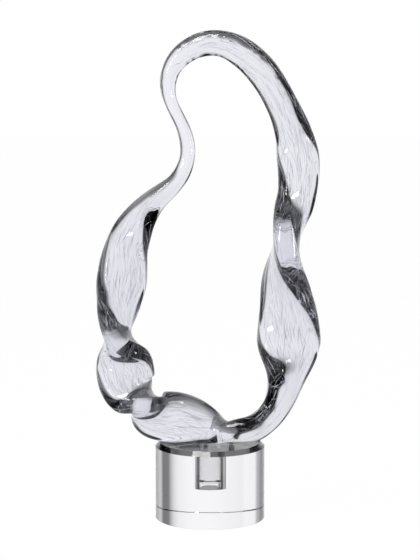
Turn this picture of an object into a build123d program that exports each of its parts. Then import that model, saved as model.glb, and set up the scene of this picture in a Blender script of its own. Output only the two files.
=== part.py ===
from build123d import *
from math import ceil, cos, radians, sin
from typing import NamedTuple
import os

import numpy as np

# A closed loop of flattened and twisted clear glass, standing by a glass peg in a round crystal block.
# Millimetres, +Z up, front towards -Y.
# The origin is the centre of the block's underside.

# Crystal block
BLOCK_DIAMETER = 120.0
BLOCK_HEIGHT = 85.0
RIM_CHAMFER = 4.8
FOOT_CHAMFER = 1.5
BORE_DIAMETER = 24.5
BORE_DEPTH = 48.5
BORE_MOUTH_CHAMFER = 0.8

# Peg, loose in the block's bore and seated in a socket in the loop's foot
PEG_CLEARANCE = 0.5
PEG_TIP_GAP = 6.5
PEG_CHAMFER = 1.0
SOCKET_DEPTH = 14.0
SOCKET_CLEARANCE = 0.05
GLUE_FILM = 0.2

# Twisted bar
LOOP_TWIST = 900.0
ROUND_CORNER = 0.7071
SQUARED_CORNER = 0.24
SECTION_TWIST = 11.0
SECTION_SPACING = 14.0

PEG_DIAMETER = BORE_DIAMETER - 2 * PEG_CLEARANCE
PEG_BOTTOM = BLOCK_HEIGHT - BORE_DEPTH + PEG_TIP_GAP
PEG_TOP = BLOCK_HEIGHT + SOCKET_DEPTH - GLUE_FILM


class Station(NamedTuple):
    """One hand-shaped section of the bar."""

    x: float  # centre, to the right of the block's axis
    y: float  # centre, behind the block's axis
    rise: float  # centre, above the block's top face
    half_width: float  # half the broad way across the bar
    half_thickness: float  # half the narrow way across the bar
    twist: float  # turn of the broad way, from the loop's outside towards the front


# The bar, from the foot up the right side, over the crown and down the left side
STATIONS = [
    Station(25.0, 2.5, 8.5, 19.0, 12.0, 120.0),  # foot
    Station(46.0, -0.5, 13.5, 18.8, 11.4, 130.0),
    Station(63.0, -2.0, 25.5, 17.0, 11.0, 133.0),
    Station(74.5, 0.0, 41.0, 18.4, 12.4, 128.0),
    Station(82.0, 0.0, 62.0, 22.4, 15.8, 124.0),  # lower right
    Station(86.0, 0.0, 86.0, 31.0, 16.0, 140.0),
    Station(86.0, 0.0, 118.0, 34.8, 16.5, 188.0),  # right lobe
    Station(84.6, 0.0, 148.0, 33.0, 16.8, 214.0),
    Station(81.5, 0.0, 176.0, 31.0, 17.3, 237.0),
    Station(82.2, 0.0, 210.0, 31.5, 15.0, 267.0),  # right crossing
    Station(86.2, 0.0, 240.0, 28.0, 14.5, 290.0),
    Station(93.6, 0.0, 270.0, 22.8, 12.8, 324.0),
    Station(95.8, 0.0, 302.0, 23.2, 13.3, 350.0),  # upper right face
    Station(90.0, 0.0, 338.0, 21.0, 13.0, 392.0),
    Station(74.0, 0.0, 376.0, 17.5, 13.0, 392.0),
    Station(49.0, 0.0, 412.5, 17.3, 12.5, 388.0),
    Station(8.0, 0.0, 435.0, 14.2, 12.8, 390.0),  # crown
    Station(-25.0, 0.0, 426.0, 12.2, 12.0, 398.0),
    Station(-43.0, 0.0, 403.0, 9.6, 9.5, 408.0),
    Station(-43.8, 0.0, 378.0, 7.5, 7.4, 418.0),  # slender rod
    Station(-31.5, 0.0, 350.0, 7.1, 7.0, 428.0),
    Station(-24.0, 0.0, 318.0, 8.4, 8.3, 438.0),
    Station(-35.0, 0.0, 288.0, 9.6, 9.4, 450.0),
    Station(-58.0, 0.0, 267.3, 15.4, 12.1, 468.0),  # neck
    Station(-77.5, 0.0, 243.5, 20.8, 14.2, 488.0),
    Station(-91.0, 0.0, 212.0, 24.0, 18.0, 534.0),
    Station(-96.4, 0.0, 175.0, 27.8, 18.8, 560.0),  # upper left lobe
    Station(-100.5, 0.0, 145.0, 24.6, 17.0, 590.0),
    Station(-101.2, 0.0, 121.4, 27.0, 13.4, 618.0),  # left crossing
    Station(-98.4, 0.0, 105.0, 30.0, 19.0, 651.0),
    Station(-93.2, 0.0, 82.0, 32.0, 17.0, 712.0),  # middle left lobe
    Station(-88.8, -2.0, 60.0, 30.5, 17.3, 746.0),
    Station(-75.6, -4.0, 44.5, 29.0, 17.0, 810.0),  # lower left crossing
    Station(-63.5, -4.0, 32.2, 28.6, 17.2, 862.0),
    Station(-43.0, -1.5, 27.0, 28.5, 17.0, 898.0),  # bottom lobe
    Station(-18.0, 2.5, 20.0, 27.0, 17.5, 928.0),
    Station(4.0, 4.0, 11.5, 22.0, 15.8, 962.0),
]


COUNT = len(STATIONS)
TABLE = np.array(STATIONS)
SPANS = np.linalg.norm(np.roll(TABLE, -1, axis=0)[:, :3] - TABLE[:, :3], axis=1)
KNOTS = np.concatenate([[0.0], np.cumsum(SPANS)])
STEADY_TWIST = LOOP_TWIST / KNOTS[-1]
LEVEL = TABLE.copy()
LEVEL[:, 5] -= STEADY_TWIST * KNOTS[:-1]


def closed_spline_slopes(values, spans):
    """Slopes of the smooth closed curve through the values, one value at each end of a span."""
    before = np.roll(spans, 1)
    identity = np.eye(len(spans))
    left = np.roll(identity, -1, axis=1) / before[:, None]
    right = np.roll(identity, 1, axis=1) / spans[:, None]
    middle = identity * 2 * (1 / before + 1 / spans)[:, None]
    steps_in = (values - np.roll(values, 1, axis=0)) / before[:, None] ** 2
    steps_out = (np.roll(values, -1, axis=0) - values) / spans[:, None] ** 2
    return np.linalg.solve(left + middle + right, 3 * (steps_in + steps_out))


SLOPES = closed_spline_slopes(LEVEL, SPANS)


def bar_at(position):
    """Plane and half sizes of the bar at a station number. The plane's x is the broad way."""
    first = int(position) % COUNT
    second = (first + 1) % COUNT
    share = position - int(position)
    span = SPANS[first]
    rest = 1 - share
    values = (
        LEVEL[first] * rest**2 * (1 + 2 * share)
        + LEVEL[second] * share**2 * (3 - 2 * share)
        + SLOPES[first] * span * share * rest**2
        - SLOPES[second] * span * share**2 * rest
    )
    speed = (
        6 * share * rest * (LEVEL[second] - LEVEL[first]) / span
        + SLOPES[first] * rest * (1 - 3 * share)
        + SLOPES[second] * share * (3 * share - 2)
    )
    x, y, rise, half_width, half_thickness, twist = values
    laps = int(position) // COUNT
    angle = radians(twist + STEADY_TWIST * (KNOTS[first] + share * span) + LOOP_TWIST * laps)
    along = Vector(*speed[:3]).normalized()
    outside = Vector(0, 1, 0).cross(along).normalized()
    front = outside.cross(along)
    broad = outside * cos(angle) + front * sin(angle)
    plane = Plane(origin=(x, y, BLOCK_HEIGHT + rise), x_dir=broad, z_dir=along * -1)
    return plane, half_width, half_thickness


def corner_share(half_width, half_thickness):
    """Where the four arcs of a section meet, as a share of its half sizes."""
    return ROUND_CORNER + SQUARED_CORNER * (1 - half_thickness / half_width)


def bar_section(position):
    """Closed outline of the bar: two broad arcs and two narrow ones."""
    plane, wide, thick = bar_at(position)
    share = corner_share(wide, thick)
    x, y = wide * share, thick * share
    with BuildSketch(plane) as section:
        with BuildLine():
            ThreePointArc((x, -y), (wide, 0), (x, y))
            ThreePointArc((x, y), (0, thick), (-x, y))
            ThreePointArc((-x, y), (-wide, 0), (-x, -y))
            ThreePointArc((-x, -y), (0, -thick), (x, -y))
        make_face()
    return section.sketch.face()


def section_positions():
    """Station numbers of the sections of one lap, close enough to carry the twist smoothly."""
    turns = np.diff(np.append(TABLE[:, 5], TABLE[0, 5] + LOOP_TWIST))
    positions = []
    for first in range(COUNT):
        steps = max(ceil(abs(turns[first]) / SECTION_TWIST), ceil(SPANS[first] / SECTION_SPACING))
        positions += [first + step / steps for step in range(steps)]
    return positions + [COUNT]


os.makedirs("parts", exist_ok=True)

# Crystal block: wide chamfer round the top, narrow one round the underside, blind bore for the peg
with BuildPart() as base_block:
    with BuildSketch(Plane.XY):
        Circle(BLOCK_DIAMETER / 2)
    extrude(amount=BLOCK_HEIGHT)
    chamfer(base_block.edges().group_by(Axis.Z)[-1], length=RIM_CHAMFER)
    chamfer(base_block.edges().group_by(Axis.Z)[0], length=FOOT_CHAMFER)
    with BuildSketch(Plane.XY.offset(BLOCK_HEIGHT)):
        Circle(BORE_DIAMETER / 2)
    extrude(amount=-BORE_DEPTH, mode=Mode.SUBTRACT)
    top_face = base_block.faces().sort_by(Axis.Z)[-1]
    chamfer(top_face.inner_wires()[0].edges(), length=BORE_MOUTH_CHAMFER)

# Peg: glass dowel from the loop's socket down into the bore
with BuildPart() as peg:
    with BuildSketch(Plane.XY.offset(PEG_BOTTOM)):
        Circle(PEG_DIAMETER / 2)
    extrude(amount=PEG_TOP - PEG_BOTTOM)
    chamfer(peg.edges().filter_by(GeomType.CIRCLE), length=PEG_CHAMFER)

# Loop: the twisted bar, meeting itself half a turn over, with a ground flat foot and the peg's socket
ring = [bar_section(position) for position in section_positions()]
middle = len(ring) // 2
with BuildPart() as glass_loop:
    loft(sections=ring[: middle + 1], ruled=True)
    loft(sections=ring[middle:], ruled=True)
    with BuildSketch(Plane.XY.offset(BLOCK_HEIGHT)):
        Circle(BLOCK_DIAMETER)
    extrude(amount=-BLOCK_HEIGHT, mode=Mode.SUBTRACT)
    with BuildSketch(Plane.XY.offset(BLOCK_HEIGHT)):
        Circle(PEG_DIAMETER / 2 + SOCKET_CLEARANCE)
    extrude(amount=SOCKET_DEPTH, mode=Mode.SUBTRACT)

for name, piece in {"base_block": base_block, "peg": peg, "glass_loop": glass_loop}.items():
    piece.part.label = name
    export_step(piece.part, f"parts/{name}.step")
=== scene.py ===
"""Studio scene of a twisted loop of clear glass, standing by a peg in a crystal block."""

import logging
import math
from dataclasses import dataclass
from enum import Enum
from typing import Any, NamedTuple

import bpy
import numpy as np
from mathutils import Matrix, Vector


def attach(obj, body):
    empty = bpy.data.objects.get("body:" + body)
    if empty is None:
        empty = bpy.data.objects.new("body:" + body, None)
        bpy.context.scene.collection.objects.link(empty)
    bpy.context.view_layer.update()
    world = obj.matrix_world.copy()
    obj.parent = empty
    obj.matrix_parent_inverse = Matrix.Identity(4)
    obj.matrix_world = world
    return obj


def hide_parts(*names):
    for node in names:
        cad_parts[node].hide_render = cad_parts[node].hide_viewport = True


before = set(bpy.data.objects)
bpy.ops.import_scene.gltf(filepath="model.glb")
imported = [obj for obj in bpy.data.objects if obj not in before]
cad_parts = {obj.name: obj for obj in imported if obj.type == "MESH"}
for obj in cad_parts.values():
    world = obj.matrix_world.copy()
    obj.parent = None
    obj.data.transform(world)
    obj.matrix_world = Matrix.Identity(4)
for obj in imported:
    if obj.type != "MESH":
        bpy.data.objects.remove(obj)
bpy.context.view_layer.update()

LOG = logging.getLogger("glass_sculpture")
MM = 0.001
ROUND_CORNER = 0.7071
SQUARED_CORNER = 0.24


class Body(Enum):
    """Rigid bodies of the frame."""

    BASE = "base"
    PEG = "peg"
    SCULPTURE = "sculpture"


class Slot(Enum):
    """Material slots of the record."""

    CRYSTAL = "crystal"
    CLEAR_GLASS = "clear_glass"


class Lie(Enum):
    """Where drawn bubbles lie in the bar."""

    WITHIN = "under the broad faces"
    ON_EDGES = "open on the narrow faces"


class Blend(Enum):
    """How two tones of the studio come together."""

    ADD = "ADD"
    MULTIPLY = "MULTIPLY"


class Station(NamedTuple):
    """One hand-shaped section of the bar, in millimetres and degrees."""

    x: float
    y: float
    rise: float
    half_width: float
    half_thickness: float
    twist: float


STATIONS = (
    Station(25.0, 2.5, 8.5, 19.0, 12.0, 120.0),  # foot
    Station(46.0, -0.5, 13.5, 18.8, 11.4, 130.0),
    Station(63.0, -2.0, 25.5, 17.0, 11.0, 133.0),
    Station(74.5, 0.0, 41.0, 18.4, 12.4, 128.0),
    Station(82.0, 0.0, 62.0, 22.4, 15.8, 124.0),  # lower right
    Station(86.0, 0.0, 86.0, 31.0, 16.0, 140.0),
    Station(86.0, 0.0, 118.0, 34.8, 16.5, 188.0),  # right lobe
    Station(84.6, 0.0, 148.0, 33.0, 16.8, 214.0),
    Station(81.5, 0.0, 176.0, 31.0, 17.3, 237.0),
    Station(82.2, 0.0, 210.0, 31.5, 15.0, 267.0),  # right crossing
    Station(86.2, 0.0, 240.0, 28.0, 14.5, 290.0),
    Station(93.6, 0.0, 270.0, 22.8, 12.8, 324.0),
    Station(95.8, 0.0, 302.0, 23.2, 13.3, 350.0),  # upper right face
    Station(90.0, 0.0, 338.0, 21.0, 13.0, 392.0),
    Station(74.0, 0.0, 376.0, 17.5, 13.0, 392.0),
    Station(49.0, 0.0, 412.5, 17.3, 12.5, 388.0),
    Station(8.0, 0.0, 435.0, 14.2, 12.8, 390.0),  # crown
    Station(-25.0, 0.0, 426.0, 12.2, 12.0, 398.0),
    Station(-43.0, 0.0, 403.0, 9.6, 9.5, 408.0),
    Station(-43.8, 0.0, 378.0, 7.5, 7.4, 418.0),  # slender rod
    Station(-31.5, 0.0, 350.0, 7.1, 7.0, 428.0),
    Station(-24.0, 0.0, 318.0, 8.4, 8.3, 438.0),
    Station(-35.0, 0.0, 288.0, 9.6, 9.4, 450.0),
    Station(-58.0, 0.0, 267.3, 15.4, 12.1, 468.0),  # neck
    Station(-77.5, 0.0, 243.5, 20.8, 14.2, 488.0),
    Station(-91.0, 0.0, 212.0, 24.0, 18.0, 534.0),
    Station(-96.4, 0.0, 175.0, 27.8, 18.8, 560.0),  # upper left lobe
    Station(-100.5, 0.0, 145.0, 24.6, 17.0, 590.0),
    Station(-101.2, 0.0, 121.4, 27.0, 13.4, 618.0),  # left crossing
    Station(-98.4, 0.0, 105.0, 30.0, 19.0, 651.0),
    Station(-93.2, 0.0, 82.0, 32.0, 17.0, 712.0),  # middle left lobe
    Station(-88.8, -2.0, 60.0, 30.5, 17.3, 746.0),
    Station(-75.6, -4.0, 44.5, 29.0, 17.0, 810.0),  # lower left crossing
    Station(-63.5, -4.0, 32.2, 28.6, 17.2, 862.0),
    Station(-43.0, -1.5, 27.0, 28.5, 17.0, 898.0),  # bottom lobe
    Station(-18.0, 2.5, 20.0, 27.0, 17.5, 928.0),
    Station(4.0, 4.0, 11.5, 22.0, 15.8, 962.0),
)


def linear(hex_colour: str) -> tuple[float, float, float, float]:
    """Turns an sRGB colour into the linear one that shaders take.

    Args:
        hex_colour: six hexadecimal digits after a hash sign.
    Returns:
        Red, green, blue and alpha.
    """
    values = [int(hex_colour[i : i + 2], 16) / 255 for i in (1, 3, 5)]
    curve = [v / 12.92 if v <= 0.04045 else ((v + 0.055) / 1.055) ** 2.4 for v in values]
    return curve[0], curve[1], curve[2], 1.0


def add_node(
    tree: bpy.types.NodeTree,
    kind: str,
    links: dict[str | int, bpy.types.NodeSocket] | None = None,
    **settings: Any,
) -> bpy.types.Node:
    """Adds one shader node with its values and incoming links.

    Args:
        tree: the node tree that gets the node.
        kind: the node's type name.
        links: input name or number to the output socket that feeds it.
        settings: the node's own properties, or input names with underscores for spaces.
    Returns:
        The new node.
    """
    node = tree.nodes.new(kind)
    for key, value in settings.items():
        if hasattr(node, key):
            setattr(node, key, value)
        else:
            node.inputs[key.replace("_", " ")].default_value = value
    for key, socket in (links or {}).items():
        tree.links.new(socket, node.inputs[key])
    return node


def mix_shaders(
    tree: bpy.types.NodeTree, share: bpy.types.NodeSocket, first: bpy.types.Node, second: bpy.types.Node
) -> bpy.types.Node:
    """Mixes two shaders.

    Args:
        tree: the node tree.
        share: how much of the second shader shows.
        first: node of the first shader.
        second: node of the second shader.
    Returns:
        The mixing node.
    """
    links = {0: share, 1: first.outputs[0], 2: second.outputs[0]}
    return add_node(tree, "ShaderNodeMixShader", links)


def mix_tones(
    tree: bpy.types.NodeTree,
    blend: Blend,
    first: bpy.types.NodeSocket,
    second: bpy.types.NodeSocket,
    share: bpy.types.NodeSocket | None = None,
) -> bpy.types.NodeSocket:
    """Adds or multiplies two tones.

    Args:
        tree: the node tree.
        blend: how they come together.
        first: the first tone.
        second: the second tone.
        share: how much of the second tone counts; all of it if left out.
    Returns:
        The new tone.
    """
    node = add_node(tree, "ShaderNodeMix", {6: first, 7: second}, data_type="RGBA", blend_type=blend.value)
    node.inputs[0].default_value = 1.0
    if share is not None:
        tree.links.new(share, node.inputs[0])
    return node.outputs[2]


def new_material(name: str) -> tuple[bpy.types.Material, bpy.types.NodeTree]:
    """Makes an empty node material.

    Args:
        name: what the real material is.
    Returns:
        The material and its cleared node tree.
    """
    material = bpy.data.materials.new(name)
    material.use_nodes = True
    material.node_tree.nodes.clear()
    return material, material.node_tree


@dataclass(frozen=True)
class ClearGlass:
    """Polished clear glass that takes its tint from its thickness."""

    name: str
    ior: float
    tint: str
    density: float
    roughness: float = 0.0

    def build(self) -> bpy.types.Material:
        """Makes the material.

        Returns:
            A refracting surface over an absorbing volume.
        """
        material, tree = new_material(self.name)
        surface = add_node(tree, "ShaderNodeBsdfPrincipled", Base_Color=(1, 1, 1, 1), Transmission_Weight=1.0)
        surface.inputs["IOR"].default_value = self.ior
        surface.inputs["Roughness"].default_value = self.roughness
        absorb = add_node(tree, "ShaderNodeVolumeAbsorption", Color=linear(self.tint), Density=self.density)
        links = {"Surface": surface.outputs[0], "Volume": absorb.outputs[0]}
        add_node(tree, "ShaderNodeOutputMaterial", links)
        return material


@dataclass(frozen=True)
class TrappedAir:
    """Air in a bubble drawn out inside glass."""

    name: str
    glass_ior: float
    haze: float

    def build(self) -> bpy.types.Material:
        """Makes the material.

        Returns:
            A surface that bends light as glass does towards air.
        """
        material, tree = new_material(self.name)
        surface = add_node(tree, "ShaderNodeBsdfPrincipled", Base_Color=(1, 1, 1, 1), Transmission_Weight=1.0)
        surface.inputs["IOR"].default_value = 1 / self.glass_ior
        surface.inputs["Roughness"].default_value = self.haze
        add_node(tree, "ShaderNodeOutputMaterial", {"Surface": surface.outputs[0]})
        return material


@dataclass(frozen=True)
class DullGlass:
    """A dull diffuse skin whose colour is painted light: dark painted shade on the loop's ground foot, pale
    painted highlight on bubbles open on the narrow faces.
    """

    name: str
    colour: str

    def build(self) -> bpy.types.Material:
        """Makes the material.

        Returns:
            A dull surface.
        """
        material, tree = new_material(self.name)
        surface = add_node(tree, "ShaderNodeBsdfDiffuse", Color=linear(self.colour))
        add_node(tree, "ShaderNodeOutputMaterial", {"Surface": surface.outputs[0]})
        return material


LAVENDER_GLASS = ClearGlass("hot_worked_lavender_glass", 1.5, "#cfcfdc", 14.0)
# Painted shade: a dark dull skin on the loop's ground flat, standing in for the dark seen through the glass
# at the foot.
FOOT_PAINTED_SHADE = DullGlass("foot_painted_shade", "#2c2c30")
CRYSTAL = ClearGlass("polished_crystal", 1.52, "#f2ede4", 1.0)
GROUND_CRYSTAL = ClearGlass("drilled_crystal", 1.52, "#f2ede4", 1.0, 0.04)
BUBBLE_AIR = TrappedAir("drawn_bubble_air", 1.5, 0.1)
# Painted highlight: a pale diffuse skin on bubbles open on the narrow faces, standing in for glints of light
# in them.
BUBBLE_PAINTED_HIGHLIGHT = DullGlass("bubble_painted_highlight", "#f4f4f6")


class BarFrames(NamedTuple):
    """The bar at several places along it, in metres."""

    centre: np.ndarray
    broad: np.ndarray
    thin: np.ndarray
    half_width: np.ndarray
    half_thickness: np.ndarray


@dataclass(frozen=True)
class TwistedBar:
    """Centre line, half sizes and twist of the bar as one smooth closed curve."""

    stations: tuple[Station, ...] = STATIONS
    loop_twist: float = 900.0
    block_height: float = 85.0

    @property
    def count(self) -> int:
        """Counts the stations.

        Returns:
            How many sections shape the bar.
        """
        return len(self.stations)

    def _spline(self) -> tuple[np.ndarray, np.ndarray, np.ndarray, np.ndarray]:
        """Solves the closed cubic spline through the stations.

        The slopes m solve, at each station, m_before / h_before + 2 (1 / h_before + 1 / h) m + m_after / h
        = 3 (step_before / h_before squared + step / h squared), with h the chord lengths.

        Returns:
            Levelled table, slopes, chord lengths and distances along the loop.
        """
        table = np.array(self.stations)
        spans = np.linalg.norm(np.roll(table, -1, axis=0)[:, :3] - table[:, :3], axis=1)
        knots = np.concatenate([[0.0], np.cumsum(spans)])
        level = table.copy()
        level[:, 5] -= self.loop_twist / knots[-1] * knots[:-1]
        before = np.roll(spans, 1)
        identity = np.eye(len(spans))
        left = np.roll(identity, -1, axis=1) / before[:, None]
        right = np.roll(identity, 1, axis=1) / spans[:, None]
        middle = identity * 2 * (1 / before + 1 / spans)[:, None]
        steps_in = (level - np.roll(level, 1, axis=0)) / before[:, None] ** 2
        steps_out = (np.roll(level, -1, axis=0) - level) / spans[:, None] ** 2
        slopes = np.linalg.solve(left + middle + right, 3 * (steps_in + steps_out))
        return level, slopes, spans, knots

    def length(self) -> float:
        """Measures the loop along the chords between its stations.

        Returns:
            Length, in metres.
        """
        return float(self._spline()[3][-1]) * MM

    def position_at(self, distance: np.ndarray) -> np.ndarray:
        """Turns distances along the loop into station numbers.

        Args:
            distance: distances from the foot, in metres.
        Returns:
            Station numbers with fractions.
        """
        knots = self._spline()[3] * MM
        return np.interp(np.mod(distance, knots[-1]), knots, np.arange(len(knots)))

    def at(self, position: np.ndarray) -> BarFrames:
        """Places the bar at station numbers.

        Each column is the cubic with the station values and slopes at both ends of its span. The broad way
        turns from the loop's outside towards the front by the twist.

        Args:
            position: station numbers with fractions; past the last one the loop goes on half a turn over.
        Returns:
            Centres, directions and half sizes there.
        """
        level, slopes, spans, knots = self._spline()
        whole = np.floor(position).astype(int)
        share = (position - whole)[:, None]
        first = whole % self.count
        second = (first + 1) % self.count
        span = spans[first][:, None]
        rest = 1 - share
        values = (
            level[first] * rest**2 * (1 + 2 * share)
            + level[second] * share**2 * (3 - 2 * share)
            + slopes[first] * span * share * rest**2
            - slopes[second] * span * share**2 * rest
        )
        speed = (
            6 * share * rest * (level[second] - level[first]) / span
            + slopes[first] * rest * (1 - 3 * share)
            + slopes[second] * share * (3 * share - 2)
        )
        steady = self.loop_twist / knots[-1]
        laps = whole // self.count
        turned = steady * (knots[first] + share[:, 0] * spans[first]) + self.loop_twist * laps
        angle = np.radians(values[:, 5] + turned)
        along = speed[:, :3] / np.linalg.norm(speed[:, :3], axis=1, keepdims=True)
        outside = np.cross(np.array([0.0, 1.0, 0.0]), along)
        outside /= np.linalg.norm(outside, axis=1, keepdims=True)
        front = np.cross(outside, along)
        cos, sin = np.cos(angle)[:, None], np.sin(angle)[:, None]
        centre = values[:, :3] + np.array([0.0, 0.0, self.block_height])
        broad = outside * cos + front * sin
        thin = front * cos - outside * sin
        return BarFrames(centre * MM, broad, thin, values[:, 3] * MM, values[:, 4] * MM)


def corner_share(half_width: np.ndarray, half_thickness: np.ndarray) -> np.ndarray:
    """Where the broad and narrow faces of a section meet, as a share of its half sizes.

    Args:
        half_width: half the broad way across.
        half_thickness: half the narrow way across.
    Returns:
        The round corner's share for a round section, more for a flat one.
    """
    return ROUND_CORNER + SQUARED_CORNER * (1 - half_thickness / half_width)


def grid_quads(rows: int, columns: int, close_rows: bool, close_columns: bool) -> np.ndarray:
    """Quads of a grid whose vertices run row by row.

    Args:
        rows: number of rows.
        columns: number of columns.
        close_rows: whether the last row joins the first.
        close_columns: whether the last column joins the first.
    Returns:
        Vertex numbers, four to a face.
    """
    row = np.arange(rows if close_rows else rows - 1)[:, None]
    column = np.arange(columns if close_columns else columns - 1)[None, :]
    next_row, next_column = (row + 1) % rows, (column + 1) % columns
    corners = [row * columns + column, row * columns + next_column]
    corners += [next_row * columns + next_column, next_row * columns + column]
    return np.stack(np.broadcast_arrays(*corners), axis=-1).reshape(-1, 4)


def outward(vertices: np.ndarray, faces: list[np.ndarray]) -> list[np.ndarray]:
    """Turns faces over where their volume comes out negative.

    Args:
        vertices: points of a closed surface.
        faces: arrays of three- or four-cornered faces, all wound the same way.
    Returns:
        The faces, wound outward.
    """
    volume = 0.0
    for block in faces:
        for k in range(1, block.shape[1] - 1):
            a, b, c = vertices[block[:, 0]], vertices[block[:, k]], vertices[block[:, k + 1]]
            volume += float(np.einsum("ij,ij->", a, np.cross(b, c)))
    return faces if volume > 0 else [block[:, ::-1] for block in faces]


@dataclass(frozen=True)
class Piece:
    """One visible piece: where it rides, what it stands for and its finish."""

    name: str
    body: Body
    slot: Slot
    material: bpy.types.Material
    nodes: tuple[str, ...] = ()
    sharp_angle: float = 180.0
    ground: bpy.types.Material | None = None

    def build(
        self, vertices: np.ndarray, faces: list[np.ndarray], ground_faces: np.ndarray | None = None
    ) -> bpy.types.Object:
        """Makes the mesh and ties it to the frame.

        Args:
            vertices: points in the shared frame, in metres.
            faces: arrays of three- or four-cornered faces.
            ground_faces: whether each face has the second finish, in the order of the faces: ground on the
                crystal's bore, painted shade on the loop's foot.
        Returns:
            The new object.
        """
        mesh = bpy.data.meshes.new(self.name)
        mesh.from_pydata(vertices, [], [face for block in faces for face in block.tolist()])
        mesh.shade_smooth()
        if self.sharp_angle < 180:
            mesh.set_sharp_from_angle(angle=math.radians(self.sharp_angle))
        mesh.materials.append(self.material)
        if self.ground and ground_faces is not None:
            mesh.materials.append(self.ground)
            mesh.polygons.foreach_set("material_index", ground_faces.astype(np.int32))
        mesh.validate()
        obj = bpy.data.objects.new(self.name, mesh)
        bpy.context.scene.collection.objects.link(obj)
        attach(obj, self.body.value)
        if self.nodes:
            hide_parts(*self.nodes)
        LOG.info("%s: %d vertices", self.name, len(vertices))
        return obj


@dataclass(frozen=True)
class GlassLoop:
    """The twisted clear bar, closed on itself and ground flat under its foot."""

    bar: TwistedBar
    along_count: int = 1040
    side_count: int = 24
    flute_count: int = 10
    flute_depth: float = 0.04 * MM
    swell_depth: float = 0.18 * MM
    dent_depth: float = 0.6 * MM
    crown_height: float = 530 * MM
    crown_spread: float = 50 * MM
    film: float = 0.05 * MM

    def arc(self, reach: np.ndarray, across: np.ndarray, share: np.ndarray) -> tuple[np.ndarray, np.ndarray]:
        """Points of one face of each section, an arc that stops at the corners.

        The arc's top lies at the reach and its ends at the corner share of reach and of half width across.

        Args:
            reach: distance of the face from the middle of the section.
            across: half size of the section along the face.
            share: corner share.
        Returns:
            Distances from the middle, and places along the face, a row for each section.
        """
        rise, half_chord = reach * (1 - share), across * share
        radius = ((rise**2 + half_chord**2) / (2 * rise))[:, None]
        step = (2 * np.arange(self.side_count) + 1) / self.side_count - 1
        angle = 2 * np.arctan2(rise, half_chord)[:, None] * step[None, :]
        return reach[:, None] - radius * (1 - np.cos(angle)), radius * np.sin(angle)

    def points(self) -> np.ndarray:
        """Surface points of the bar.

        A section has two broad and two narrow arcs. Shallow flutes, slow swells and the crown's dents, sines
        of the column and of the way along the loop, are added away from the middle. The dents fade as a bell
        curve of height away from the crown, and as a squared cosine where the skin turns from front or back
        to the side. Points under the block's top face are ground up to it.

        Returns:
            Points, row by row along the loop.
        """
        distance = np.linspace(0, self.bar.length(), self.along_count, endpoint=False)
        f = self.bar.at(self.bar.position_at(distance))
        share = corner_share(f.half_width, f.half_thickness)
        narrow_x, narrow_y = self.arc(f.half_width, f.half_thickness, share)
        broad_y, broad_x = self.arc(f.half_thickness, f.half_width, share)
        x = np.concatenate([narrow_x, -broad_x, -narrow_x, broad_x], axis=1)
        y = np.concatenate([narrow_y, broad_y, -narrow_y, -broad_y], axis=1)
        u = np.linspace(0, 2 * math.pi, x.shape[1], endpoint=False)[None, :]
        turn = 2 * math.pi * distance[:, None] / self.bar.length()
        flute = np.sin(self.flute_count * u + 5 * turn + np.sin(11 * turn))
        swell = np.sin(4 * u + 23 * turn) + np.sin(2 * u - 31 * turn)
        crown = np.exp(-(((f.centre[:, None, 2] - self.crown_height) / self.crown_spread) ** 2))
        dent = np.sin(2 * u + 47 * turn) + np.sin(3 * u - 71 * turn + 2 * np.sin(29 * turn))
        facing = (x * f.broad[:, None, 1] + y * f.thin[:, None, 1]) / np.hypot(x, y)
        dents = self.dent_depth * 0.5 * crown * dent * facing**2
        depth = self.flute_depth * flute + self.swell_depth * 0.5 * swell + dents
        grow = depth / np.hypot(x, y)
        x, y = x * (1 + grow), y * (1 + grow)
        points = f.centre[:, None] + x[..., None] * f.broad[:, None] + y[..., None] * f.thin[:, None]
        points = points.reshape(-1, 3)
        points[:, 2] = np.maximum(points[:, 2], self.bar.block_height * MM + self.film)
        return points

    def build(self, material: bpy.types.Material, ground: bpy.types.Material) -> bpy.types.Object:
        """Makes the loop, which meets itself half a turn over.

        Args:
            material: the clear glass.
            ground: a dark dull surface where it is ground flat, painted shade.
        Returns:
            The loop's object.
        """
        points = self.points()
        around = 4 * self.side_count
        quads = grid_quads(self.along_count + 1, around, False, True)
        past = quads >= len(points)
        quads[past] = (quads[past] - len(points) + around // 2) % around
        faces = outward(points, [quads])
        flat = np.all(points[faces[0], 2] < self.bar.block_height * MM + 2 * self.film, axis=1)
        piece = Piece(
            "glass_loop_visual", Body.SCULPTURE, Slot.CLEAR_GLASS, material, ("glass_loop",), ground=ground
        )
        return piece.build(points, faces, flat)


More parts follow.
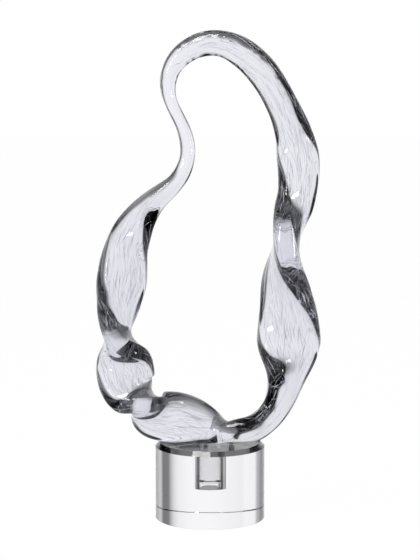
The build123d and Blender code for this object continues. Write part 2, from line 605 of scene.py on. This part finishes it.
@dataclass(frozen=True)
class DrawnBubbles:
    """Thin bubbles drawn out along the flow of the glass.

    Sizes with a unit are in metres. The others are shares of the bar's half sizes or of a bubble's radius.
    """

    name: str
    bar: TwistedBar
    lie: Lie
    count: int
    seed: int
    shortest: float
    longest: float
    radius: float
    drift: float
    tries: int = 12
    thinnest_bar: float = 11 * MM
    chance_rise: float = 20 * MM
    oblique: float = 0.65
    oblique_spread: float = 0.22
    edge_reach: float = 0.6
    edge_limit: float = 0.62
    face_reach: float = 0.72
    deep: float = 0.35
    shallow: float = 0.72
    lift: float = 0.08 * MM
    thinnest: float = 0.6
    thickest: float = 1.3
    tip: float = 0.06
    fullness: float = 0.7
    sides: int = 4
    steps: int = 6

    def starts(self, rng: np.random.Generator) -> np.ndarray:
        """Picks where bubbles begin, more of them where the bar is wide.

        On the edges only places count where a narrow face is turned obliquely to the front.

        Args:
            rng: the random draws.
        Returns:
            Distances from the foot, in metres.
        """
        spread = rng.uniform(0, self.bar.length(), self.tries * self.count)
        there = self.bar.at(self.bar.position_at(spread))
        chance = np.clip((there.half_width - self.thinnest_bar) / self.chance_rise, 0, 1)
        if self.lie is Lie.ON_EDGES:
            chance *= np.abs(np.abs(there.broad[:, 1]) - self.oblique) < self.oblique_spread
        return spread[rng.uniform(size=len(spread)) < chance][: self.count]

    def across(
        self, rng: np.random.Generator, f: BarFrames, sway: np.ndarray, count: int
    ) -> tuple[np.ndarray, np.ndarray]:
        """Places bubbles across the sections that they run through.

        On the edges a bubble lies on the narrow face that looks to the front, an arc: its distance from the
        middle is the half width, less the arc's radius, plus the root of radius squared less height squared.

        Args:
            rng: the random draws.
            f: the bar at each step of each bubble.
            sway: drift from the bubble's own place, as a share.
            count: number of bubbles.
        Returns:
            Distances from the middle along the broad way and along the narrow way, in metres.
        """
        if self.lie is Lie.ON_EDGES:
            place = np.repeat(rng.uniform(-self.edge_reach, self.edge_reach, count), self.steps)
            tall = np.clip(place + sway, -self.edge_limit, self.edge_limit) * f.half_thickness
            share = corner_share(f.half_width, f.half_thickness)
            rise, half_chord = f.half_width * (1 - share), f.half_thickness * share
            bend = (rise**2 + half_chord**2) / (2 * rise)
            reach = f.half_width - bend + np.sqrt(bend**2 - tall**2) + self.lift
            return -np.sign(f.broad[:, 1]) * reach, tall
        side = np.repeat(rng.choice([-1.0, 1.0], count), self.steps)
        place = np.repeat(rng.uniform(-self.face_reach, self.face_reach, count), self.steps)
        tall = side * np.repeat(rng.uniform(self.deep, self.shallow, count), self.steps)
        return (place + sway) * f.half_width, tall * f.half_thickness

    def build(self, material: bpy.types.Material) -> bpy.types.Object:
        """Makes all bubbles as one mesh of needles.

        A needle keeps its share of the way across the section, plus a small drift, while it runs along the
        bar, so it follows the twist. Its radius grows and falls as a power of half a sine from tip to tip.

        Args:
            material: the finish of the bubbles.
        Returns:
            The bubbles' object.
        """
        rng = np.random.default_rng(self.seed)
        start = self.starts(rng)
        count = len(start)
        length = rng.uniform(self.shortest, self.longest, count)
        along = np.linspace(0, 1, self.steps)
        distance = start[:, None] + length[:, None] * along[None, :]
        f = self.bar.at(self.bar.position_at(distance.ravel()))
        sway = (rng.uniform(-self.drift, self.drift, count)[:, None] * (along - 0.5)[None, :]).ravel()
        wide, tall = self.across(rng, f, sway, count)
        centre = f.centre + wide[:, None] * f.broad + tall[:, None] * f.thin
        swell = self.tip + np.sin(np.pi * along) ** self.fullness
        girth = self.radius * rng.uniform(self.thinnest, self.thickest, count)
        radius = (girth[:, None] * swell[None, :]).ravel()
        angle = (np.arange(self.sides) * 2 * math.pi / self.sides)[None, :, None]
        ring = np.cos(angle) * f.broad[:, None] + np.sin(angle) * f.thin[:, None]
        points = (centre[:, None] + radius[:, None, None] * ring).reshape(-1, 3)
        one = grid_quads(self.steps, self.sides, False, True)
        size = self.steps * self.sides
        caps = np.array([np.arange(self.sides)[::-1], np.arange(size - self.sides, size)])
        shift = (np.arange(count) * size)[:, None, None]
        quads = (np.concatenate([one, caps])[None] + shift).reshape(-1, 4)
        faces = outward(points, [quads])
        return Piece(self.name, Body.SCULPTURE, Slot.CLEAR_GLASS, material).build(points, faces)


@dataclass(frozen=True)
class Turned:
    """A piece turned on the block's axis from a profile of radius and height."""

    name: str
    body: Body
    slot: Slot
    nodes: tuple[str, ...]
    profile: tuple[tuple[float, float], ...]
    ground_runs: tuple[int, ...] = ()
    segments: int = 192
    sharp_angle: float = 20.0

    def build(
        self, material: bpy.types.Material, ground: bpy.types.Material | None = None
    ) -> bpy.types.Object:
        """Makes the piece.

        A point of the profile at radius r goes to (r cos a, r sin a, height) for each angle a; the profile
        starts and ends on the axis.

        Args:
            material: its glass.
            ground: the glass where it is ground and not polished.
        Returns:
            The piece's object.
        """
        profile = np.array(self.profile) * MM
        angle = np.linspace(0, 2 * math.pi, self.segments, endpoint=False)
        ring = np.stack([np.cos(angle), np.sin(angle), np.zeros(self.segments)], axis=1)
        inner = profile[1:-1]
        points = inner[:, 0, None, None] * ring[None]
        points[..., 2] += inner[:, 1, None]
        poles = np.array([[0, 0, profile[0, 1]], [0, 0, profile[-1, 1]]])
        points = np.concatenate([points.reshape(-1, 3), poles])
        quads = grid_quads(len(inner), self.segments, False, True)
        first = np.arange(self.segments)
        after = (first + 1) % self.segments
        last = (len(inner) - 1) * self.segments
        start_cap = np.stack([after, first, np.full(self.segments, len(points) - 2)], axis=1)
        end_cap = np.stack([first + last, after + last, np.full(self.segments, len(points) - 1)], axis=1)
        faces = outward(points, [quads, start_cap, end_cap])
        runs = np.concatenate([np.arange(1, len(inner)), [0, len(inner)]])
        dull = np.repeat(np.isin(runs, self.ground_runs), self.segments)
        piece = Piece(self.name, self.body, self.slot, material, self.nodes, self.sharp_angle, ground)
        return piece.build(points, faces, dull)


@dataclass(frozen=True)
class CrystalBase:
    """The crystal block with its blind bore, and the peg that stands in the bore."""

    diameter: float = 120.0
    height: float = 85.0
    rim_chamfer: float = 4.8
    foot_chamfer: float = 0.7
    bore_diameter: float = 24.5
    bore_depth: float = 48.5
    mouth_chamfer: float = 0.8
    peg_clearance: float = 0.5
    peg_tip_gap: float = 6.5
    peg_chamfer: float = 1.0
    film: float = 0.1

    def block(self) -> Turned:
        """Profile of the block.

        Returns:
            The block as a turned piece.
        """
        r, h, c, low = self.diameter / 2, self.height, self.rim_chamfer, self.foot_chamfer
        bore, mouth, floor = self.bore_diameter / 2, self.mouth_chamfer, self.height - self.bore_depth
        profile = ((0, 0), (r - low, 0), (r, low), (r, h - c), (r - c, h), (bore + mouth, h))
        profile += ((bore, h - mouth), (bore, floor), (0, floor))
        bore_runs = (5, 6, 7)  # mouth, wall and floor
        return Turned("crystal_block", Body.BASE, Slot.CRYSTAL, ("base_block",), profile, bore_runs)

    def peg(self) -> Turned:
        """Profile of the peg, up to the loop's ground foot.

        Returns:
            The peg as a turned piece.
        """
        r, c = self.bore_diameter / 2 - self.peg_clearance, self.peg_chamfer
        low, high = self.height - self.bore_depth + self.peg_tip_gap, self.height - self.film
        profile = ((0, low), (r - c, low), (r, low + c), (r, high), (0, high))
        return Turned("glass_peg", Body.PEG, Slot.CLEAR_GLASS, ("peg",), profile)


def bearing(degrees: float) -> float:
    """Place on the ramp of side tones.

    Args:
        degrees: bearing from straight behind the object, positive to the right.
    Returns:
        0 to 1.
    """
    return 0.5 + degrees / 360


def elevation(sine: float) -> float:
    """Place on the ramp of height tones.

    Args:
        sine: sine of the angle above the horizon.
    Returns:
        0 to 1.
    """
    return 0.5 + sine / 2


SIDE_TONES = (
    (bearing(-180), 0.22),
    (bearing(-150), 0.18),
    (bearing(-135), 0.1),
    (bearing(-118), 0.03),
    (bearing(-95), 0.03),
    (bearing(-80), 0.12),
    (bearing(-66), 0.3),
    (bearing(-56), 0.42),
    (bearing(-51), 0.46),
    (bearing(-47), 0.8),
    (bearing(-45), 1.0),
    (bearing(-30), 1.0),
    (bearing(-26), 0.93),
    (bearing(0), 1.0),
    (bearing(15), 1.0),
    (bearing(26), 0.93),
    (bearing(31), 0.78),
    (bearing(35), 0.54),
    (bearing(39), 0.22),
    (bearing(50), 0.18),
    (bearing(56), 0.66),
    (bearing(64), 0.45),
    (bearing(76), 0.12),
    (bearing(95), 0.03),
    (bearing(118), 0.03),
    (bearing(135), 0.1),
    (bearing(150), 0.18),
    (bearing(180), 0.22),
)
FRONT_TONES = (
    (bearing(-180), 0.74),
    (bearing(-130), 0.74),
    (bearing(-115), 0.0),
    (bearing(115), 0.0),
    (bearing(130), 0.74),
    (bearing(180), 0.74),
)
HEIGHT_TONES = (
    (elevation(-1.0), 0.0),
    (elevation(-0.7), 0.1),
    (elevation(-0.55), 0.18),
    (elevation(-0.45), 0.4),
    (elevation(-0.33), 0.92),
    (elevation(-0.26), 1.0),
    (elevation(0.5), 1.0),
    (elevation(0.7), 0.6),
    (elevation(1.0), 0.3),
)
FLOOR_GLOW = ((elevation(-1.0), 0.16), (elevation(-0.8), 0.12), (elevation(-0.5), 0.0), (elevation(1.0), 0.0))


class Softbox(NamedTuple):
    """One soft lamp, in metres and watts."""

    name: str
    place: tuple[float, float, float]
    size: tuple[float, float]
    watts: float


SOFTBOXES = (
    Softbox("top_softbox", (-0.5, -0.6, 1.9), (0.9, 0.9), 27.0),
    Softbox("left_softbox", (-1.5, -1.5, 0.7), (0.35, 0.5), 6.0),
    Softbox("right_softbox", (1.7, -1.1, 0.5), (0.3, 0.5), 5.0),
)


@dataclass(frozen=True)
class Studio:
    """White table-top studio: floor, surroundings, lamps and camera."""

    camera_height: float = 0.578
    camera_distance: float = 2.268
    camera_pitch: float = 7.89
    lens: float = 135.26
    sensor_width: float = 36.0
    aim_height: float = 0.28
    coolness: float = 1.02
    floor_size: float = 12.0
    floor_drop: float = 0.6 * MM
    floor_shadow: float = 0.012
    # Painted shadow of the floor under the block, seen only through the glass.
    painted_shadow_tone: float = 0.12
    painted_shadow_radius: float = 0.058
    painted_shadow_edge: float = 0.063

    def floor(self) -> bpy.types.Object:
        """Lays the white floor, which keeps a soft shadow.

        Seen through the glass it carries a painted shadow, a dim glow under the block, and gives way to the
        studio's tones further out.

        Returns:
            The floor's object.
        """
        half, z = self.floor_size / 2, -self.floor_drop
        mesh = bpy.data.meshes.new("floor")
        corners = [(-half, -half, z), (half, -half, z), (half, half, z), (-half, half, z)]
        mesh.from_pydata(corners, [], [(0, 1, 2, 3)])
        material, tree = new_material("white_paper_sweep")
        path = add_node(tree, "ShaderNodeLightPath")
        share = add_node(tree, "ShaderNodeMath", {0: path.outputs["Is Camera Ray"]}, operation="MULTIPLY")
        share.inputs[1].default_value = 1 - self.floor_shadow
        paper = add_node(tree, "ShaderNodeBsdfDiffuse", Color=linear("#f4f4f4"))
        white = add_node(tree, "ShaderNodeEmission", Color=(1, 1, 1, 1), Strength=1.0)
        plain = mix_shaders(tree, share.outputs[0], paper, white)
        through = (path.outputs["Is Glossy Ray"], path.outputs["Is Transmission Ray"])
        bent = add_node(tree, "ShaderNodeMath", dict(enumerate(through)), operation="MAXIMUM")
        coords = add_node(tree, "ShaderNodeTexCoord")
        reach = add_node(tree, "ShaderNodeVectorMath", {0: coords.outputs["Object"]}, operation="LENGTH")
        out = add_node(
            tree,
            "ShaderNodeMapRange",
            {0: reach.outputs["Value"]},
            From_Min=self.painted_shadow_radius,
            From_Max=self.painted_shadow_edge,
        )
        # painted shadow: a dim glow in place of the floor under the block
        under = add_node(tree, "ShaderNodeEmission", Color=(1, 1, 1, 1), Strength=self.painted_shadow_tone)
        clear = add_node(tree, "ShaderNodeBsdfTransparent")
        shown = mix_shaders(tree, out.outputs[0], under, clear)
        mix = mix_shaders(tree, bent.outputs[0], plain, shown)
        add_node(tree, "ShaderNodeOutputMaterial", {"Surface": mix.outputs[0]})
        mesh.materials.append(material)
        obj = bpy.data.objects.new("floor", mesh)
        bpy.context.scene.collection.objects.link(obj)
        return obj

    def tone_ramp(
        self, tree: bpy.types.NodeTree, value: bpy.types.NodeSocket, tones: tuple[tuple[float, float], ...]
    ) -> bpy.types.NodeSocket:
        """Adds a ramp of grey tones.

        Args:
            tree: the world's node tree.
            value: where on the ramp to look, 0 to 1.
            tones: places and tones, in order.
        Returns:
            The ramp's colour.
        """
        ramp = add_node(tree, "ShaderNodeValToRGB", {0: value})
        elements = ramp.color_ramp.elements
        elements[0].position, elements[1].position = tones[0][0], tones[-1][0]
        for place, _ in tones[1:-1]:
            elements.new(place)
        for element, (_, tone) in zip(elements, tones):
            element.color = (tone, tone, tone * self.coolness, 1)
        return ramp.outputs[0]

    def side_tone(
        self, tree: bpy.types.NodeTree, parts: bpy.types.Node, tones: tuple[tuple[float, float], ...]
    ) -> bpy.types.NodeSocket:
        """Looks up the studio's tone on a bearing from the object.

        Args:
            tree: the node tree.
            parts: a node with the direction's x and y as its first outputs.
            tones: places and tones, in order.
        Returns:
            The tone.
        """
        links = {0: parts.outputs[0], 1: parts.outputs[1]}
        azimuth = add_node(tree, "ShaderNodeMath", links, operation="ARCTAN2")
        around = add_node(
            tree, "ShaderNodeMapRange", {0: azimuth.outputs[0]}, From_Min=-math.pi, From_Max=math.pi
        )
        return self.tone_ramp(tree, around.outputs[0], tones)

    def surroundings(self) -> None:
        """Paints the studio round the object: white straight behind, greyer to the sides.

        In front it is dim for rays mirrored in or on the glass and pale for all others, so that the glass is
        clear from behind too. A ray counts as mirrored from its first mirroring on.
        """
        world = bpy.data.worlds.new("white_studio")
        bpy.context.scene.world = world
        world.use_nodes = True
        tree = world.node_tree
        tree.nodes.clear()
        path = add_node(tree, "ShaderNodeLightPath")
        coords = add_node(tree, "ShaderNodeTexCoord")
        parts = add_node(tree, "ShaderNodeSeparateXYZ", {0: coords.outputs["Generated"]})
        straight = add_node(tree, "ShaderNodeMath", {0: path.outputs["Glossy Depth"]}, operation="LESS_THAN")
        straight.inputs[1].default_value = 0.5
        room = self.side_tone(tree, parts, SIDE_TONES)
        front = self.side_tone(tree, parts, FRONT_TONES)
        side = mix_tones(tree, Blend.ADD, room, front, straight.outputs[0])
        rise = add_node(tree, "ShaderNodeMapRange", {0: parts.outputs[2]}, From_Min=-1.0, From_Max=1.0)
        height = self.tone_ramp(tree, rise.outputs[0], HEIGHT_TONES)
        glow = self.tone_ramp(tree, rise.outputs[0], FLOOR_GLOW)
        tone = mix_tones(tree, Blend.ADD, mix_tones(tree, Blend.MULTIPLY, side, height), glow)
        studio = add_node(tree, "ShaderNodeBackground", {"Color": tone}, Strength=1.0)
        white = add_node(tree, "ShaderNodeBackground", Color=(1, 1, 1, 1), Strength=1.0)
        mix = mix_shaders(tree, path.outputs["Is Camera Ray"], studio, white)
        add_node(tree, "ShaderNodeOutputWorld", {"Surface": mix.outputs[0]})

    def camera(self) -> bpy.types.Object:
        """Sets the camera where the photograph was taken from.

        Returns:
            The camera's object.
        """
        data = bpy.data.cameras.new("camera")
        data.lens = self.lens
        data.sensor_width = self.sensor_width
        data.sensor_fit = "AUTO"
        data.clip_start, data.clip_end = 0.05, 50.0
        obj = bpy.data.objects.new("camera", data)
        obj.location = Vector((0.0, -self.camera_distance, self.camera_height))
        obj.rotation_euler = (math.radians(90 - self.camera_pitch), 0.0, 0.0)
        bpy.context.scene.collection.objects.link(obj)
        bpy.context.scene.camera = obj
        return obj

    def lamp(self, box: Softbox) -> bpy.types.Object:
        """Hangs one soft lamp aimed at the sculpture.

        Rays through the glass don't meet it, so it makes highlights on the skin and no specks inside.

        Args:
            box: the lamp's name, place, size and power.
        Returns:
            The lamp's object.
        """
        data = bpy.data.lights.new(box.name, "AREA")
        data.shape, data.energy = "RECTANGLE", box.watts
        data.size, data.size_y = box.size
        obj = bpy.data.objects.new(box.name, data)
        obj.location = box.place
        aim = Vector((0.0, 0.0, self.aim_height)) - Vector(box.place)
        obj.rotation_euler = aim.to_track_quat("-Z", "Y").to_euler()
        obj.visible_transmission = False
        bpy.context.scene.collection.objects.link(obj)
        return obj

    def build(self) -> None:
        """Sets up the whole studio."""
        bpy.context.scene.view_settings.view_transform = "Standard"
        self.floor()
        self.surroundings()
        for box in SOFTBOXES:
            self.lamp(box)
        self.camera()


def main() -> None:
    """Builds the sculpture, piece by piece, and its studio."""
    logging.basicConfig(level=logging.INFO, format="%(name)s %(message)s")
    bar = TwistedBar()
    clear = LAVENDER_GLASS.build()
    base = CrystalBase()
    base.block().build(CRYSTAL.build(), GROUND_CRYSTAL.build())
    base.peg().build(clear)
    # the loop's ground flat takes the dark painted shade
    GlassLoop(bar).build(clear, FOOT_PAINTED_SHADE.build())
    streaks = DrawnBubbles("drawn_bubbles", bar, Lie.WITHIN, 1500, 7, 7 * MM, 30 * MM, 0.11 * MM, 0.14)
    streaks.build(BUBBLE_AIR.build())
    # the edge bubbles' pale skin is painted highlight on the dark patches
    hairs = DrawnBubbles("edge_bubbles_painted_highlight", bar, Lie.ON_EDGES, 80, 11, 7 * MM, 26 * MM, 0.14 * MM, 0.6)
    hairs.build(BUBBLE_PAINTED_HIGHLIGHT.build())
    Studio().build()


if __name__ == "__main__":
    main()
